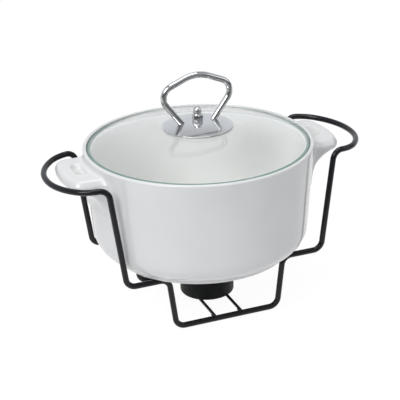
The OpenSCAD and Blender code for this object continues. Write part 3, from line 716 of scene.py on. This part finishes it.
class CASSEROLE_OT_dish(bpy.types.Operator):
    """Porcelain dish with its two lugs, turned in columns that swell out at the lugs"""
    bl_idname = "casserole.dish"
    bl_label = "Porcelain dish"

    def execute(self, context):
        size = context.scene.casserole_dish
        turn = self.columns(size)
        rows = self.outside_rows(size) + self.lug_rows(size, turn) + self.inside_rows(size)
        grid = ring_grid([(r, DISH_LOW.z + z) for r, z in rows], turn, DISH_X)
        mesh = mesh_from_grid("casserole_dish_glazed", grid)
        self.mark_glaze(size, mesh)
        glaze = glaze_finish(finishes())
        place_piece(mesh, glaze, "dish", "porcelain", "casserole_dish")
        return {"FINISHED"}

    def mark_glaze(self, size, mesh):
        """Marks the faces that look into the dish, which get painted light, and the slopes of the finger
        recesses, which get painted shade.
        """
        ledge = RIM_RADIUS - size.lip
        floor = DISH_LOW.z + size.foot_height + size.floor / 2
        inside = mesh.attributes.new("inside", "FLOAT", "FACE")
        recess_shade_mask = mesh.attributes.new("recess_shade_mask", "FLOAT", "FACE")
        for face in mesh.polygons:
            out = Vector((face.center.x - DISH_X, face.center.y))
            slope = face.normal.xy.dot(out.normalized())
            inward = face.normal.z > 0.5 or slope < 0.0
            inside.data[face.index].value = float(inward and out.length < ledge and face.center.z > floor)
            # The slopes of the finger recesses are marked for painted shade
            low = face.center.z < DISH_LOW.z + self.lug_top(size) - 0.3 * MM
            if low and face.normal.z > 0.0 and out.length > RIM_RADIUS:
                recess_shade_mask.data[face.index].value = float(smooth_step(*RECESS_SHADE_SLOPE, -slope))

    def wall_radius(self, size, z):
        """Outside radius of the wall at a height above the foot."""
        up = (z - size.foot_height) / (RIM_HEIGHT - size.foot_height)
        return RIM_RADIUS - size.wall_lean * (1.0 - up)

    def lug_top(self, size):
        return RIM_HEIGHT - size.lug_drop

    def lug_plan(self, size):
        """Half of a lug's plan from its tip to the wall, as radii by angle."""
        tip = DISH_REACH
        half = size.lug_width / 2
        wall = self.wall_radius(size, self.lug_top(size))
        bow_r = cap_radius(half, size.lug_bow)
        edge = [(tip - bow_r + sphere_height(bow_r, y), y) for y in np.linspace(0.0, half, 24)]
        corner = rounded([edge[-8], (edge[-1][0], half, size.lug_corner), (wall, half, 0.0)], 12)
        kept = [p for p in edge if p[1] < corner[1][1]]
        reach = wall + size.lug_root
        root_x = math.sqrt(reach ** 2 - (half + size.lug_root) ** 2)
        root = Vector((root_x, half + size.lug_root))
        low, high = -math.pi / 2, math.atan2(-root.y, -root.x)
        sweep = np.linspace(low, high, 24)
        fillet = [(root.x + size.lug_root * math.cos(a), root.y + size.lug_root * math.sin(a)) for a in sweep]
        points = np.array(kept + corner[1:-1] + fillet)
        return np.arctan2(points[:, 1], points[:, 0]), np.hypot(points[:, 0], points[:, 1])

    def columns(self, size):
        """Angles of the columns, close together at the lugs and even round the rest of the wall."""
        angles, _ = self.lug_plan(size)
        reach = angles[-1] + math.radians(1.0)
        lug = np.linspace(-reach, reach, LUG_COLUMNS)
        plain = np.linspace(reach, math.pi - reach, PLAIN_COLUMNS)[1:-1]
        return np.concatenate([lug, plain, lug + math.pi, plain + math.pi])

    def lug_reach(self, size, turn):
        """How far the lugs stand out from the wall in each column, and the stretch of a radius there."""
        angles, radii = self.lug_plan(size)
        off = np.abs((turn + math.pi / 2) % math.pi - math.pi / 2)
        wall = self.wall_radius(size, self.lug_top(size))
        edge = np.interp(off, angles, radii, right=wall)
        slope = np.interp(off, angles, np.gradient(radii, angles), right=0.0)
        return np.maximum(edge - wall, 0.0), np.sqrt(1.0 + (slope / edge) ** 2)

    def outside_rows(self, size):
        """Underside, foot ring, bottom corner and wall, up to where the lugs' coves start."""
        foot, low = size.foot_height, self.wall_radius(size, size.foot_height)
        inner = size.foot_radius - size.foot_width
        ring = rounded([(0.0, foot, 0.0), (inner, foot, 0.8 * MM), (inner, 0.0, 0.9 * MM),
                        (size.foot_radius, 0.0, size.foot_edge), (size.foot_radius, foot, 0.0)], 5)[:-1]
        top = self.cove(size)[0][1]
        corner = rounded([(0.0, foot, 0.0), (low, foot, size.corner),
                          (self.wall_radius(size, top), top, 0.0)], 16)
        bend = [p for p in corner[1:-1] if p[0] > size.foot_radius + 0.3 * MM]
        join = foot + size.corner - sphere_height(size.corner, size.foot_radius - corner[1][0])
        ring += [(size.foot_radius, join - 0.3 * MM), (size.foot_radius, join),
                 (size.foot_radius + 0.1 * MM, join)]
        wall = [(self.wall_radius(size, z), z) for z in np.linspace(bend[-1][1], top, 8)[1:-1]]
        return ring + bend + wall

    def cove(self, size):
        """Underside of a lug at its middle, as points of (distance from the wall, height)."""
        top = self.lug_top(size)
        tip = DISH_REACH - self.wall_radius(size, top)
        rise, step = math.tan(size.lug_slope), size.lug_step
        root = top - size.lug_thickness - (tip - step) * rise
        low = root - size.lug_cove / math.tan((math.pi / 2 + size.lug_slope) / 2) - 1.5 * step
        return rounded([(0.0, low - 2 * step, 0.0), (0.0, low - step, 0.5 * step), (step, low, 0.5 * step),
                        (step, root, size.lug_cove), (3 * tip, root + (3 * tip - step) * rise, 0.0)], 20)

    def lug_rows(self, size, turn):
        """Cove, edge, top and root of the lugs; where there is no lug these rows lie on the wall."""
        reach, stretch = self.lug_reach(size, turn)
        top = self.lug_top(size)
        cove = np.array(self.cove(size))
        rows = []
        fine = np.linspace(cove[0, 1], top - size.lug_edge, 400)
        middle = soft_min(np.interp(fine, cove[:, 1], cove[:, 0]), reach.max(), SPACING_BLEND)
        run = np.concatenate([[0.0], np.cumsum(np.hypot(np.diff(middle), np.diff(fine)))])
        for z in np.interp(np.linspace(0.0, run[-1], COVE_ROWS), run, fine):
            blend = np.minimum(COVE_BLEND * stretch, 1.5 * reach)
            out = soft_min(np.interp(z, cove[:, 1], cove[:, 0]), reach, blend)
            rows.append((self.wall_radius(size, z) + np.maximum(out, 0.0), z + 0 * turn))
        edge = np.minimum(size.lug_edge * stretch, 0.45 * reach)
        fillet = np.minimum(size.lug_fillet, 0.4 * reach)
        bends = np.linspace(0.0, math.pi / 2, EDGE_ROWS + 1)[1:]
        outs = [reach - edge * (1 - math.cos(bend)) for bend in bends]
        shares = np.linspace(0.0, 1.0, TOP_ROWS + 1)[1:]
        outs += [reach - edge + (fillet - reach + edge) * share for share in shares]
        apart = ROW_GAP * smooth_step(*ROW_GAP_REACH, reach)
        for k, out in enumerate(outs):
            r = self.wall_radius(size, top) + out
            x, y = r * np.cos(turn), r * np.sin(turn)
            z = top - self.edge_drop(size, x, y) - self.recess(size, x, y) + (k + 1) * apart
            rows.append((self.wall_radius(size, z) + out, z))
        for k, bend in enumerate(np.linspace(0.0, math.pi / 2, FILLET_ROWS + 1)[1:]):
            higher = z + fillet * (1 - math.cos(bend)) + (k + 1) * apart
            rows.append((self.wall_radius(size, higher) + fillet * (1 - math.sin(bend)), higher))
        return rows

    def edge_drop(self, size, x, y):
        """How far a lug's top has rounded down at a place, by its distance from the lug's outline."""
        angles, radii = self.lug_plan(size)
        outline = np.stack([radii * np.cos(angles), radii * np.sin(angles)], axis=-1)
        start, along = outline[:-1], np.diff(outline, axis=0)
        reach = np.stack([np.abs(x), np.abs(y)], axis=-1)[:, None, :] - start
        share = np.clip((reach * along).sum(axis=-1) / (along ** 2).sum(axis=-1), 0.0, 1.0)
        away = np.hypot(*np.moveaxis(reach - share[:, :, None] * along, -1, 0)).min(axis=-1)
        return size.lug_edge * np.clip(1.0 - away / size.lug_edge, 0.0, 1.0) ** 2

    def recess(self, size, x, y):
        """Depth of the finger recess at a place; it falls from its outer edge towards the wall."""
        middle = RIM_RADIUS + size.recess_out
        half = (size.recess_length - size.recess_width) / 2
        away = np.abs(x) - middle
        out = np.hypot(away, np.maximum(np.abs(y) - half, 0.0)) - size.recess_width / 2
        slope = np.clip(0.5 - away / size.recess_width, 0.0, 1.0)
        depth = size.recess_lip + (size.recess_depth - size.recess_lip) * slope
        rise = smooth_step(*RECESS_BACK, away / size.recess_width)
        return depth * rise * smooth_step(*RECESS_SIDE, out)

    def inside_rows(self, size):
        """Wall above the lugs, lip, lid ledge, inside wall, corner and floor."""
        rim, high = RIM_RADIUS, RIM_HEIGHT
        low_z = self.lug_top(size) + size.lug_fillet + 0.2 * MM
        ledge_r = rim - size.lip
        ledge_z = high - size.ledge_depth
        inner_r = ledge_r - size.ledge_width
        floor_z = size.foot_height + size.floor
        floor_r = self.wall_radius(size, size.foot_height) - size.wall
        return rounded([(self.wall_radius(size, low_z), low_z, 0.0), (rim, high, 1.7 * MM),
                        (ledge_r, high, 1.0 * MM), (ledge_r, ledge_z, 0.8 * MM), (inner_r, ledge_z, 1.6 * MM),
                        (floor_r, floor_z, size.cavity_corner), (0.0, floor_z, 0.0)], 8)


class CASSEROLE_OT_glass_lid(bpy.types.Operator):
    """Domed glass lid with a pencil-ground edge"""
    bl_idname = "casserole.glass_lid"
    bl_label = "Glass lid"

    def execute(self, context):
        size = context.scene.casserole_lid
        edge = (GLASS_HIGH.x - GLASS_LOW.x) / 2
        outer = cap_radius(edge, size.dome_rise)
        inner = outer - size.glass
        middle = GLASS_HIGH.z - outer
        band = edge - GROUND_BAND
        spots = [*np.linspace(size.glass_hole, band, 36), edge - GROUND_START]
        top = [(r, middle + sphere_height(outer, r)) for r in spots]
        under = [(r, middle + sphere_height(inner, r)) for r in spots[::-1]]
        ground = rounded([top[-1], (edge, middle + sphere_height(outer, edge), GROUND_ROUND),
                          (edge, middle + sphere_height(inner, edge), GROUND_ROUND), under[0]], 6)[1:-1]
        mesh = lathe("lid_glass_dome", top + ground + under, DISH_X, columns=160, closed=True)
        place_piece(mesh, glass_finish(finishes()), "lid", "lid_glass", "lid_glass")
        mesh.materials.append(ground_glass_finish(finishes()))
        for face in mesh.polygons:
            if math.hypot(face.center.x - DISH_X, face.center.y) > band:
                face.material_index = 1
        return {"FINISHED"}


class CASSEROLE_OT_lid_handle(bpy.types.Operator):
    """Convex satin steel plate, bent chrome rod handle and tall chrome cap nut"""
    bl_idname = "casserole.lid_handle"
    bl_label = "Lid handle"

    def execute(self, context):
        size = context.scene.casserole_lid
        polished = metal_finish("polished_chrome", finishes().chrome, low=0.03, high=0.06, scratch=0.04)
        satin = metal_finish("satin_steel", finishes().plate, low=0.09, high=0.14, scratch=0.04)
        self.add_plate(size, satin)
        self.add_rod(size, polished)
        self.add_nut(size, polished)
        return {"FINISHED"}

    def plate_height(self, size, out):
        """Height of the plate's upper face at a distance from its middle, falling faster near its edge."""
        return PLATE_HIGH.z - size.plate_rise * (out / PLATE_RADIUS) ** PLATE_CURVE

    def add_plate(self, size, satin):
        edge = PLATE_RADIUS
        spots = np.linspace(size.plate_hole, edge - 0.5 * MM, 26)
        top = [(r, self.plate_height(size, r)) for r in spots]
        under = [(r, self.plate_height(size, r) - size.plate) for r in spots[::-1]]
        low = self.plate_height(size, edge)
        turned = rounded([top[-1], (edge, low, 0.35 * MM), (edge, low - size.plate, 0.35 * MM),
                          under[0]], 5)[1:-1]
        mesh = lathe("handle_plate_polished", top + turned + under, DISH_X, columns=128, closed=True)
        place_piece(mesh, satin, "lid", "chrome", "handle_plate")

    def add_rod(self, size, polished):
        base, corner = size.base_width / 2, size.handle_width / 2
        corner_z = self.plate_height(size, 0.0) + size.corner_height
        foot = Vector((base, 0.0, self.plate_height(size, base)))
        lean = (Vector((corner, 0.0, corner_z)) - foot).normalized()
        end = foot - lean * 2.0 * MM
        half = [end, Vector((corner, 0.0, corner_z))]
        points = [Vector((-p.x, 0.0, p.z)) for p in half] + [Vector((0.0, 0.0, corner_z + size.peak_rise))]
        points = [p + Vector((DISH_X, 0.0, 0.0)) for p in points + half[::-1]]
        radii = [0.0, size.corner_bend, size.peak_bend, size.corner_bend, 0.0]
        mesh = rod_mesh("lid_handle_rod", points, radii, size.rod, polished, bend_steps=18, sides=40)
        self.cope(size, mesh, lean)
        place_piece(mesh, polished, "lid", "chrome", "lid_handle")

    def cope(self, size, mesh, lean):
        """Cuts both ends of the rod to the plate's face, by moving their rims along the rod."""
        for vert in mesh.vertices:
            out = Vector((vert.co.x - DISH_X, vert.co.y))
            if vert.co.z > self.plate_height(size, out.length) + 2.5 * MM:
                continue
            along = Vector((math.copysign(lean.x, out.x), 0.0, lean.z))
            for _ in range(4):
                here = math.hypot(vert.co.x - DISH_X, vert.co.y)
                vert.co += along * (self.plate_height(size, here) - 0.1 * MM - vert.co.z) / along.z

    def add_nut(self, size, polished):
        """Hexagon with chamfered ends, a waist and a domed cap."""
        turn = even_turns(96)
        flat = size.nut_flats / 2
        hexagon = flat / np.cos((turn + math.pi / 6) % (math.pi / 3) - math.pi / 6)
        dome = size.nut_dome / 2
        low, hex_top, top = NUT_LOW.z, NUT_LOW.z + size.nut_hex, NUT_HIGH.z
        rows = []
        for z in np.linspace(0.0, size.nut_hex, 19):
            nearest = min(z, size.nut_hex - z)
            rows.append((np.minimum(hexagon, flat * 0.99 + 1.6 * nearest), low + z))
        waist = rounded([(flat * 0.95, hex_top, 0.0), (dome * 0.94, hex_top, 0.3 * MM),
                         (dome, hex_top + 1.2 * MM, 0.5 * MM), (dome, top - dome, 0.0)], 5)[1:]
        cap = [(dome * math.cos(a), top - dome + dome * math.sin(a))
               for a in np.linspace(0.0, math.pi / 2, 14)[1:]]
        grid = ring_grid([(0.0, low)] + rows + waist + cap, turn, DISH_X)
        mesh = shade(mesh_from_grid("cap_nut_polished", grid), sharp_angle=24.0)
        place_piece(mesh, polished, "lid", "chrome", "cap_nut")


class CASSEROLE_OT_lid_fastening(bpy.types.Operator):
    """Finishes of the bolt, washer, bush and gasket that hold the handle to the glass"""
    bl_idname = "casserole.lid_fastening"
    bl_label = "Lid fastening"

    def execute(self, context):
        plated = metal_finish("zinc_plated_steel", finishes().steel, low=0.29, high=0.40, scratch=0.5)
        rubber = soft_finish("pale_silicone", finishes().silicone, roughness=0.5, grain=700.0,
                             depth=0.02 * MM, glow=0.15)
        for node in ("lid_bolt", "bolt_washer", "wick_sustainer"):
            set_finish(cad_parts[node].data, plated)
        for node in ("plate_gasket", "bolt_bush"):
            set_finish(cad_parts[node].data, rubber)
        return {"FINISHED"}


class CASSEROLE_OT_wire_stand(bpy.types.Operator):
    """Two bent wires, the rails between their feet and the weld beads"""
    bl_idname = "casserole.wire_stand"
    bl_label = "Wire stand"

    def execute(self, context):
        size = context.scene.casserole_stand
        coated = coat_finish("black_enamel", finishes().coat, roughness=0.17, grain=900.0, depth=0.02 * MM)
        points, radii = self.wire_path(size)
        for node, side in (("front_wire", 1), ("back_wire", -1)):
            placed = [Vector((p.x, side * p.y, p.z)) for p in points]
            mesh = rod_mesh(node + "_coated", placed, radii, size.wire, coated)
            place_piece(mesh, coated, "stand", "black_wire", node)
        self.add_rails(size, coated)
        return {"FINISHED"}

    def wire_path(self, size):
        """Points and bend radii of the front wire, from the left loop's tip to the right one's."""
        wire_r = size.wire / 2
        half_span = -WIRE_LOW.y - wire_r
        shoulder = size.seat - wire_r
        tip_x = WIRE_HIGH.x - wire_r
        droop, turn, slant = size.loop_droop, size.loop_turn, size.loop_slant
        reach = (tip_x - size.leg_top) / math.cos(droop)
        leg = Vector((size.leg_top - size.leg_foot, 0.0, size.loop_height - shoulder)).normalized()
        first = Vector((math.cos(turn) * math.cos(droop), math.sin(turn), -math.cos(turn) * math.sin(droop)))
        lead = size.bend * math.tan(leg.angle(first) / 2)
        fold = (1 + math.sin(slant)) / math.cos(slant)
        span = reach * fold - half_span + lead + size.loop_flat
        side_1 = span / (math.cos(turn) * fold + 1 - math.sin(turn))
        side_2 = (reach - side_1 * math.cos(turn)) / math.cos(slant)
        tip_side = half_span - side_1 * math.sin(turn) - side_2 * math.sin(slant)
        tight = (side_1 - lead - size.loop_flat) / math.tan((slant - turn) / 2)
        wide = (tip_side - size.loop_flat) / math.tan((math.pi / 2 - slant) / 2)

        def on_loop(u, v):
            return Vector((size.leg_top + u * math.cos(droop), v, size.loop_height - u * math.sin(droop)))

        half = [Vector((size.riser_foot, -half_span, wire_r)),
                Vector((size.riser_foot + size.riser_lean, -half_span, shoulder)),
                Vector((size.leg_foot, -half_span, shoulder)),
                on_loop(0.0, -half_span),
                on_loop(side_1 * math.cos(turn), side_1 * math.sin(turn) - half_span),
                on_loop(reach, -tip_side),
                on_loop(reach, 0.0)]
        radii = [size.bend] * 4 + [tight, wide, 0.0]
        mirrored = [Vector((-p.x, p.y, p.z)) for p in half[::-1]]
        return mirrored + half, radii[::-1] + radii

    def add_rails(self, size, coated):
        """Both rails, each with a flattened weld bead where it meets a foot wire."""
        ends = []
        for node in ("cup_rail_left", "cup_rail_right"):
            low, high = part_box(node)
            x, z = (low.x + high.x) / 2, (low.z + high.z) / 2
            line = [Vector((x, low.y, z)), Vector((x, high.y, z))]
            mesh = rod_mesh(node + "_coated", line, [0.0, 0.0], size.rail, coated, bend_steps=1, sides=24)
            place_piece(mesh, coated, "stand", "black_wire", node)
            drop = Vector((0.0, 0.0, 0.25 * size.rail))
            inward = Vector((0.0, 0.9 * size.rail, 0.0))
            ends += [line[0] + inward - drop, line[1] - inward - drop]
        spots = bpy.data.meshes.new("weld_spots")
        spots.from_pydata([tuple(p) for p in ends], [], [])
        bead = [share * size.rail for share in BEAD_SHAPE]
        mesh = run_tree(bead_tree(), "weld_beads", spots, Size=bead, Finish=coated)
        place_piece(shade(mesh, sharp_angle=180.0), coated, "stand", "black_wire")


class CASSEROLE_OT_candle_cup(bpy.types.Operator):
    """Drawn black cup that holds the tealight"""
    bl_idname = "casserole.candle_cup"
    bl_label = "Candle cup"

    def execute(self, context):
        size = context.scene.casserole_stand
        matt = coat_finish("matt_black_coat", finishes().cup_coat, roughness=0.5, grain=2200.0,
                           depth=0.05 * MM, shine=0.15)
        out = (CUP_HIGH.x - CUP_LOW.x) / 2
        low, high, wall = CUP_LOW.z, CUP_HIGH.z, size.cup_wall
        outline = rounded([(0.0, low, 0.0), (out, low, size.cup_corner), (out, high, 0.45 * wall),
                           (out - wall, high, 0.45 * wall), (out - wall, low + wall, size.cup_corner - wall),
                           (0.0, low + wall, 0.0)], 8)
        mesh = lathe("candle_cup_coated", outline, x=0.0, columns=112)
        place_piece(mesh, matt, "stand", "black_cup", "candle_cup")
        return {"FINISHED"}


class CASSEROLE_OT_tealight(bpy.types.Operator):
    """Tealight: foil shell with a rolled rim, wax that climbs its edges, and a twisted wick"""
    bl_idname = "casserole.tealight"
    bl_label = "Tealight"

    def execute(self, context):
        size = context.scene.casserole_tealight
        self.add_shell(size)
        self.add_wax(size)
        self.add_wick(size)
        return {"FINISHED"}

    def add_shell(self, size):
        out = (SHELL_HIGH.x - SHELL_LOW.x) / 2
        low, high = SHELL_LOW.z, SHELL_HIGH.z
        wall, roll = size.foil, size.rim_roll
        step, side, raised = 1.2 * MM, out - 0.3 * MM, low + 0.5 * MM
        outline = rounded([(0.0, raised, 0.0), (0.62 * out, raised, 0.6 * MM),
                           (0.68 * out, low, 0.6 * MM), (out - step, low, 0.9 * MM),
                           (side, low + step, 0.6 * MM),
                           (out - 0.2 * MM, high - 2 * roll, 0.2 * MM), (out, high - 1.4 * roll, 0.2 * MM),
                           (out, high, roll), (out - 2.1 * roll, high, roll),
                           (out - 0.25 * MM - wall, high - 2 * roll, 0.2 * MM),
                           (side - wall, low + step, 0.5 * MM), (out - step, low + 1.4 * wall, 0.5 * MM),
                           (0.0, raised + wall, 0.0)], 5)
        shiny = metal_finish("drawn_foil", finishes().foil, low=0.15, high=0.25, scratch=0.8)
        mesh = lathe("tealight_shell_foil", outline, x=0.0, columns=96)
        place_piece(mesh, shiny, "tealight", "tealight_foil", "tealight_shell")

    def add_wax(self, size):
        out = (WAX_HIGH.x - WAX_LOW.x) / 2 - 0.3 * MM
        low, high = WAX_LOW.z + 0.8 * MM, WAX_HIGH.z
        hole = size.wick / 2
        climb = size.meniscus
        top = []
        for r in np.linspace(out - 0.2 * MM, hole, 40):
            at_shell = math.exp(-(out - r) / SHELL_CLIMB)
            at_wick = math.exp(-(r - hole) / WICK_CLIMB)
            top.append((r, high - climb + climb * max(at_shell, at_wick)))
        outline = [(0.0, low), (out - 0.5 * MM, low), (out, low + 0.5 * MM), (out, top[0][1] - 0.2 * MM)]
        outline += top + [(0.0, top[-1][1])]
        paraffin = soft_finish("paraffin_wax", finishes().wax, roughness=0.42, grain=260.0,
                               depth=0.05 * MM, glow=0.35)
        mesh = lathe("tealight_wax_poured", outline, x=0.0, columns=96)
        place_piece(mesh, paraffin, "tealight", "wax", "tealight_wax")

    def add_wick(self, size):
        cotton = soft_finish("waxed_cotton", finishes().wick, roughness=0.85, grain=2600.0, depth=0.12 * MM)
        low, high = WICK_LOW.z, WICK_HIGH.z
        mid = (low + high) / 2
        points = [(0.0, 0.0, low), (0.0, 0.0, mid), (0.1 * size.wick, 0.0, high)]
        base = path_mesh("wick_line", points, [0.0, 0.0, 0.0])
        mesh = run_tree(wick_tree(), "tealight_wick_cotton", base,
                        Diameter=size.wick, Twist=WICK_TWIST, Finish=cotton)
        place_piece(shade(mesh, sharp_angle=60.0), cotton, "tealight", "wick", "tealight_wick")


class CASSEROLE_PT_panel(bpy.types.Panel):
    """Lists the pieces in the order that they are built"""
    bl_label = "Casserole"
    bl_idname = "CASSEROLE_PT_panel"
    bl_space_type = "VIEW_3D"
    bl_region_type = "UI"
    bl_category = "Casserole"

    def draw(self, context):
        column = self.layout.column()
        for operator in OPERATORS:
            column.operator(operator.bl_idname)


GROUPS = {
    "casserole_dish": DishSizes,
    "casserole_lid": LidSizes,
    "casserole_stand": StandSizes,
    "casserole_tealight": TealightSizes,
    "casserole_finishes": Finishes,
}
OPERATORS = (
    CASSEROLE_OT_stage,
    CASSEROLE_OT_wire_stand,
    CASSEROLE_OT_candle_cup,
    CASSEROLE_OT_tealight,
    CASSEROLE_OT_dish,
    CASSEROLE_OT_glass_lid,
    CASSEROLE_OT_lid_handle,
    CASSEROLE_OT_lid_fastening,
)
CLASSES = (*GROUPS.values(), *OPERATORS, CASSEROLE_PT_panel)


def register():
    for cls in CLASSES:
        bpy.utils.register_class(cls)
    for name, group in GROUPS.items():
        setattr(bpy.types.Scene, name, PointerProperty(type=group))


def unregister():
    for name in GROUPS:
        delattr(bpy.types.Scene, name)
    for cls in reversed(CLASSES):
        bpy.utils.unregister_class(cls)


def main():
    register()
    bpy.ops.casserole.stage()
    bpy.ops.casserole.wire_stand()
    bpy.ops.casserole.candle_cup()
    bpy.ops.casserole.tealight()
    bpy.ops.casserole.dish()
    bpy.ops.casserole.glass_lid()
    bpy.ops.casserole.lid_handle()
    bpy.ops.casserole.lid_fastening()


if __name__ == "__main__":
    main()
